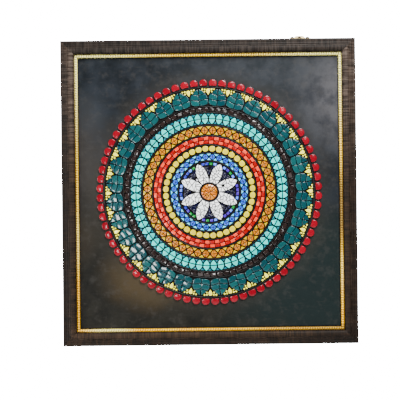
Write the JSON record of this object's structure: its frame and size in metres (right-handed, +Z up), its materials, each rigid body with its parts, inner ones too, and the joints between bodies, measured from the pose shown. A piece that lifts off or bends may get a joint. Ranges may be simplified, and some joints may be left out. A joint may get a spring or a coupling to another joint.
{
  "type": "ceramic mosaic wall plaque",
  "caption": "Framed wall plaque: a round mosaic of glazed ceramic tiles in concentric bands on a dark painted board, in a dark wooden frame with a gold slip and a top hanger",
  "frame": {"origin": "on the wall side, at the middle of the back face of the top rail", "axes": "+X to the plaque's right as seen from the front, +Y into the wall (the front faces -Y), +Z up"},
  "size_m": [0.61, 0.028, 0.6401],
  "materials": {
    "dark_frame": "near-black brown stain, satin, worn on the edges",
    "gold_slip": "gilded, beaded, semi-gloss",
    "painted_board": "mottled slate, charcoal and olive paint, satin varnish",
    "orange_tile": "gloss glaze",
    "white_tile": "gloss glaze, crushed",
    "navy_tile": "gloss glaze",
    "blue_tile": "gloss glaze",
    "yellow_tile": "gloss glaze",
    "red_tile": "gloss glaze",
    "aqua_tile": "gloss glaze",
    "dark_tile": "gloss glaze",
    "teal_tile": "gloss glaze",
    "crimson_tile": "gloss glaze",
    "black_line": "raised black liner, semi-gloss",
    "hanger_brass": "pale brass, lightly tarnished",
    "dark_screw": "blackened"
  },
  "bodies": {
    "root": {"top_rail": "dark_frame", "right_rail": "dark_frame", "bottom_rail": "dark_frame", "left_rail": "dark_frame", "top_gold_slip": "gold_slip", "right_gold_slip": "gold_slip", "bottom_gold_slip": "gold_slip", "left_gold_slip": "gold_slip", "painted_board": "painted_board", "centre_boss": "orange_tile", "white_lotus": "white_tile", "navy_wedge_1": "navy_tile", "navy_wedge_2": "navy_tile", "navy_wedge_3": "navy_tile", "navy_wedge_4": "navy_tile", "navy_wedge_5": "navy_tile", "navy_wedge_6": "navy_tile", "navy_wedge_7": "navy_tile", "navy_wedge_8": "navy_tile", "blue_lozenges": "blue_tile", "yellow_pods": "yellow_tile", "red_salmon_chequer": "red_tile", "orange_lozenges": "orange_tile", "aqua_leaves": "aqua_tile", "dark_squares": "dark_tile", "teal_leaves": "teal_tile", "crimson_scallops": "crimson_tile", "black_line_1": "black_line", "black_line_2": "black_line", "black_line_3": "black_line", "black_line_4": "black_line", "black_line_5": "black_line", "black_line_6": "black_line", "black_line_7": "black_line", "black_line_8": "black_line", "black_line_9": "black_line", "hanger_plate": "hanger_brass", "hanger_eyelet": "dark_screw", "hanger_screw_1": "dark_screw", "hanger_screw_2": "dark_screw"}
  },
  "joints": []
}
